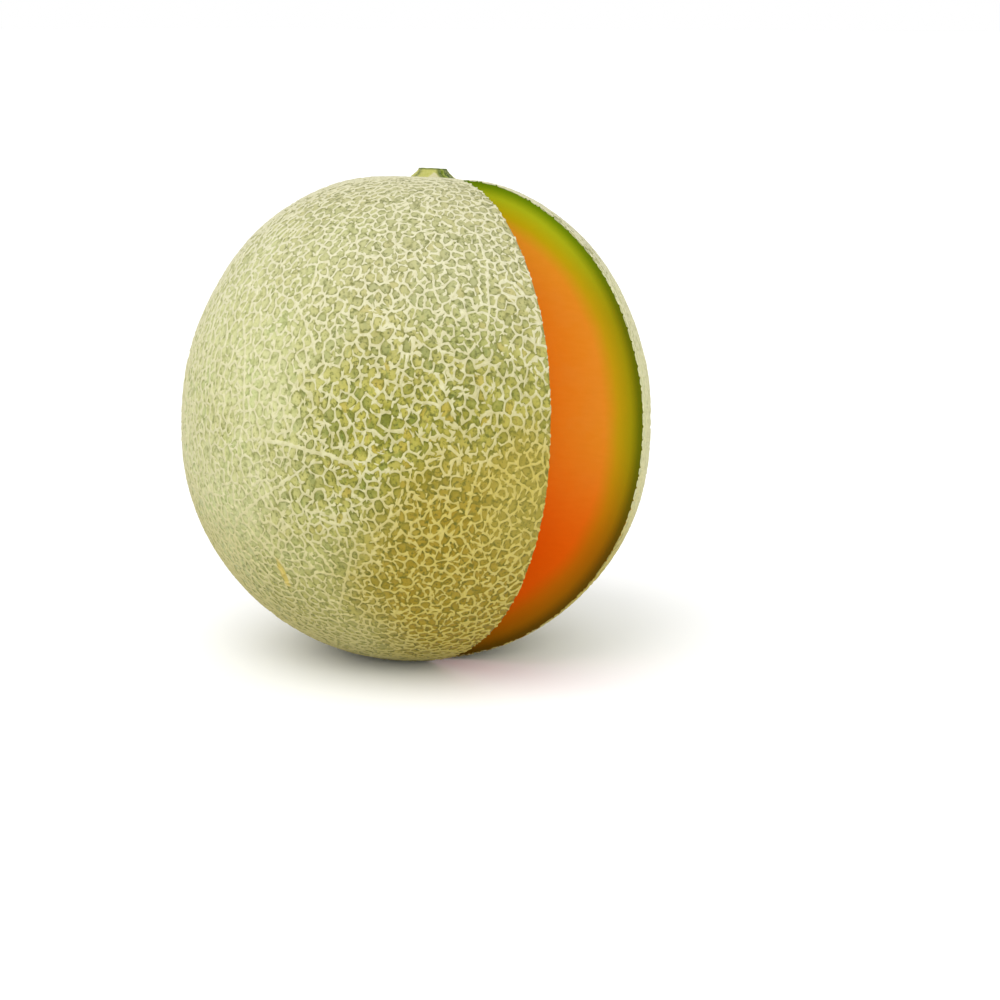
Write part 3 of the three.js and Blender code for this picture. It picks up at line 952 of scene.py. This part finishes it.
def stem_material():
    """Green ribbed stub, painted darker as shade in its grooves and on the side towards the wedge,
    corky at its foot and dried on its cut top, and moist green where the wedge's cut runs through
    it."""
    material, s = new_material("stem_green")
    place = s.melon_place()
    groove = s.step(s.attribute("groove"), 0.2, 0.7)
    share = s.attribute("share_up")
    grain = s.noise(place, 0.7, 3, stretch=(1, 1, 0.35))
    reach = s.math("MULTIPLY_ADD", s.attribute("tongue"), -0.42, share)
    corky = s.step(s.math("MULTIPLY_ADD", grain, 0.3, reach), 0.52, 0.34)
    # Painted shade: dark green in the grooves and on the side towards the wedge.
    surface = s.tinted(s.mix(groove, colour(172, 172, 84), colour(52, 78, 0)), [
        ((196, 192, 116), s.step(grain, 0.4, 0.7), 0.4),
        ((74, 92, 14), s.step(share, 0.84, 0.97), 0.75),
        ((196, 190, 148), corky, 1.0),
    ])
    dried = s.mix(s.step(grain, 0.4, 0.65), colour(120, 136, 44), colour(168, 162, 92))
    surface = s.mix(s.attribute("cut_top"), surface, dried)
    patches = s.step(s.noise(place, 1.1, 3), 0.44, 0.64)
    moist = s.mix(patches, colour(120, 138, 32), colour(162, 172, 86))
    surface = s.mix(s.attribute("grown"), moist, surface)
    s.finish(Base_Color=surface, Roughness=0.6, Specular_IOR_Level=0.35,
             Normal=s.bump(grain, 0.4, 0.0004))
    return material


# -------- the pieces

def carry(piece, node):
    """Hands a finished piece to the frame."""
    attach(piece, "root")
    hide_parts(node)


def smooth_only(piece, material):
    """Smooth shading on the faces that have this material, flat on the cut ones."""
    mesh = piece.data
    slots = np.zeros(len(mesh.polygons), np.int32)
    mesh.polygons.foreach_get("material_index", slots)
    mesh.polygons.foreach_set("use_smooth", slots == mesh.materials.find(material.name))


RIND, FLESH, CAVITY = rind_material(), flesh_material(), cavity_material()

points, faces, marks = net_mesh()
net = new_piece("net", points, faces, marks)
net.data.materials.append(RIND)
flesh = round_body("melon_flesh", 128, 80, lambda d: on_body(d, FLESH_SINK))
flesh.data.materials.append(FLESH)
wedge = wedge_tool()
wedge.data.materials.append(FLESH)
ground = ground_tool()
ground.data.materials.append(RIND)
for tool in (flesh, wedge, ground):
    cut(net, tool)
for k in range(len(RIND_JOINTS) - 1):
    piece = net.copy()
    piece.data = net.data.copy()
    piece.name = f"melon_rind_{k + 1}"
    bpy.context.scene.collection.objects.link(piece)
    tool = sector_tool(RIND_JOINTS[k], RIND_JOINTS[k + 1])
    tool.data.materials.append(FLESH)
    cut(piece, tool, "INTERSECT")
    bpy.data.objects.remove(tool)
    smooth_only(piece, RIND)
    carry(piece, "melon")
bpy.data.objects.remove(net)


def cavity_shape(directions):
    """Three soft lobes, with the dents that a spoon leaves."""
    x, y, _ = directions.T
    lobed = 1 + LOBE_SHARE * np.cos(CAVITY_LOBES * np.arctan2(y, x)) * np.hypot(x, y)
    reach = [CAVITY_RADIUS * lobed, CAVITY_RADIUS * lobed, np.full(len(x), CAVITY_HALF_LENGTH)]
    points = directions * np.stack(reach, axis=1)
    dents = [
        DENT_DEPTH * noise.noise(Vector(p) / DENT_SIZE)
        + STRING_DEPTH * noise.noise(Vector((p[0], p[1], p[2] * STRING_STRETCH)) / STRING_SIZE)
        for p in points
    ]
    return points + directions * np.array(dents)[:, None]


cavity = round_body("cavity_tool", 192, 128, cavity_shape)
cavity.data.materials.append(CAVITY)
for tool in (wedge, cavity):
    cut(flesh, tool)
smooth_only(flesh, CAVITY)
carry(flesh, "melon")


# -------- the stem

def crown_height(radius):
    """Height of the crown, without swelling and net, at this distance from the axis."""
    dome = TOP_HEIGHT * (1 - (radius / HALF_WIDTH) ** TOP_POWER) ** (1 / TOP_POWER)
    return dome - DIMPLE_DEPTH * math.exp(-((radius / DIMPLE_RADIUS) ** 2))


def hump(gap, width, power=2):
    """1 where there is no gap, and falls to nothing on both sides."""
    return math.exp(-(gap / width) ** power)


def off(turn, middle):
    """The angle from middle to turn, at most half a turn either way."""
    return math.remainder(turn - middle, 2 * math.pi)


def stem_point(x, y, z):
    """Where this point of a unit sphere lies on the stub: its distance and height from the
    foot's middle, then its marks: groove, share_up, cut_top and tongue."""
    turn = math.atan2(y, x)
    way = 1 - math.acos(max(-1, min(1, z))) / math.pi
    rib = 0.5 + 0.5 * math.cos(STEM_RIBS * (turn - RIB_TURN) + 0.5 * math.sin(2 * turn + 1))
    # The grooves' depth, which also paints them dark as shade, most towards DEEPEST_GROOVE.
    groove = (1 - rib ** 0.6) * (0.6 + 0.4 * math.cos(turn - DEEPEST_GROOVE))
    share = min(1, max(0, (way - UNDERSIDE_SHARE) / (SIDE_SHARE - UNDERSIDE_SHARE)))
    level = max(0, (way - SIDE_SHARE) / (1 - SIDE_SHARE))  # on the top, from rim to middle
    inward = min(1, way / UNDERSIDE_SHARE)

    flare = (STEM_FOOT_RADIUS - STEM_TOP_RADIUS) * (1 - share) ** STEM_FLARE
    radius = STEM_TOP_RADIUS + flare + 0.12 * hump(1 - share, 0.12)
    depth = TOP_GROOVE_DEPTH
    if share < 0.98:
        depth = GROOVE_DEPTH * math.sin(math.pi * min(1, share * 1.15 + 0.08)) ** 0.7
    radius = (radius - depth * groove) * inward * (1 - level)
    height = (STEM_HEIGHT + STEM_SUNK) * share
    if level > 0:
        rim = 0.28 * hump(level - 0.12, 0.12)
        pith = 0.125 * math.exp(-(level / 0.5 - 2) ** 2 * 3)
        height += rim - 0.42 * (1 - math.exp(-level * 5)) + pith
    rough = 0.16 * noise.noise(Vector((x * 6, y * 6, way * 14)))
    radius += rough * (radius / STEM_TOP_RADIUS) * (1 if share < 1 else 0.3)
    height += 0.1 * noise.noise(Vector((x * 3 + 9, y * 3, 5))) * share
    # painted shade: dark green on the side towards the wedge
    green = 0.9 * hump(off(turn, SHADED_GREEN_SIDE), 0.5, 4)
    marks = (
        max(groove, green) if level == 0 else 0.3,
        share,
        smoothstep(level, 0.03, 0.1),
        hump(off(turn, CORK_TONGUE), 0.2),
    )
    return (radius * math.cos(turn), radius * math.sin(turn), height), marks


def stem_piece():
    """The stub of stem, shaped from a sphere and cut where the wedge runs through it."""
    bpy.ops.mesh.primitive_uv_sphere_add(segments=STEM_SEGMENTS, ring_count=STEM_RINGS, radius=1)
    piece = bpy.context.object
    piece.name = "stem_stub"
    mesh = piece.data
    shaped = [stem_point(*vertex.co) for vertex in mesh.vertices]
    foot = (STEM_X, STEM_Y, crown_height(STEM_FOOT_RADIUS) - CREST_HEIGHT - STEM_SUNK + 0.4)
    places = np.array([place for place, _ in shaped]) + foot
    mesh.vertices.foreach_set("co", places.astype(np.float32).ravel())
    marks = [np.array(values) for values in zip(*(marks for _, marks in shaped))]
    grown = np.ones(len(places))  # all but the wedge's cut
    labels = ("groove", "share_up", "cut_top", "tongue", "grown")
    mark(mesh, list(zip(labels, [*marks, grown])))
    into_row(piece)
    material = stem_material()
    piece.data.materials.append(material)
    tool = wedge_tool(STEM_CUT_GAP)
    tool.data.materials.append(material)
    cut(piece, tool)
    bpy.data.objects.remove(tool)
    only(piece)
    bpy.ops.object.shade_smooth_by_angle(angle=math.radians(50))
    carry(piece, "stem")


stem_piece()
for tool in (wedge, ground, cavity):
    bpy.data.objects.remove(tool)

# -------- floor, light and camera

bpy.ops.mesh.primitive_plane_add(size=60)
floor = bpy.context.object
floor.name = "floor"
floor_material, floor_shader = new_material("pale_floor")
floor_shader.finish(Base_Color=(0.92, 0.92, 0.92, 1), Roughness=0.9, Specular_IOR_Level=0.0)
floor.data.materials.append(floor_material)

world = bpy.data.worlds.new("studio")
world.use_nodes = True
backdrop = world.node_tree.nodes["Background"].inputs
backdrop["Color"].default_value = (1, 1, 1, 1)
backdrop["Strength"].default_value = 1.0
bpy.context.scene.world = world


def direction(azimuth, elevation):
    """The unit direction from the melon towards this azimuth and elevation."""
    return Vector((*across(azimuth, math.cos(elevation)), math.sin(elevation)))


def add_light(kind, name, azimuth, elevation, strength, distance=0.0):
    """A light that shines on the melon from this direction, given in degrees."""
    side = direction(math.radians(azimuth), math.radians(elevation))
    bpy.ops.object.light_add(type=kind, location=PLACED.translation * MM + side * distance)
    light = bpy.context.object
    light.name = name
    light.rotation_euler = side.to_track_quat("Z", "Y").to_euler()
    light.data.energy = strength
    return light.data


key = add_light("SUN", "key", -95, 52, 1.3)
key.angle = math.radians(55)  # wide, so its shadows are soft
front = add_light("AREA", "front", -40, 22, 8.5, distance=1.6)
front.shape = "DISK"
front.size = 1.2

middle = PLACED.translation * MM
toward = direction(VIEW_AZIMUTH, VIEW_ELEVATION)
bpy.ops.object.camera_add(location=middle + toward * VIEW_DISTANCE)
camera = bpy.context.object
camera.data.lens = LENS
camera.data.sensor_width = SENSOR
camera.data.clip_end = 100
right = Vector((0, 0, 1)).cross(toward).normalized()
up = toward.cross(right)
pixel = VIEW_DISTANCE * SENSOR / LENS / 1000
aim = middle - right * MIDDLE_X * pixel - up * MIDDLE_Y * pixel
camera.rotation_euler = (camera.location - aim).to_track_quat("Z", "Y").to_euler()
bpy.context.scene.camera = camera
bpy.context.scene.view_settings.view_transform = "Standard"

bpy.context.view_layer.update()
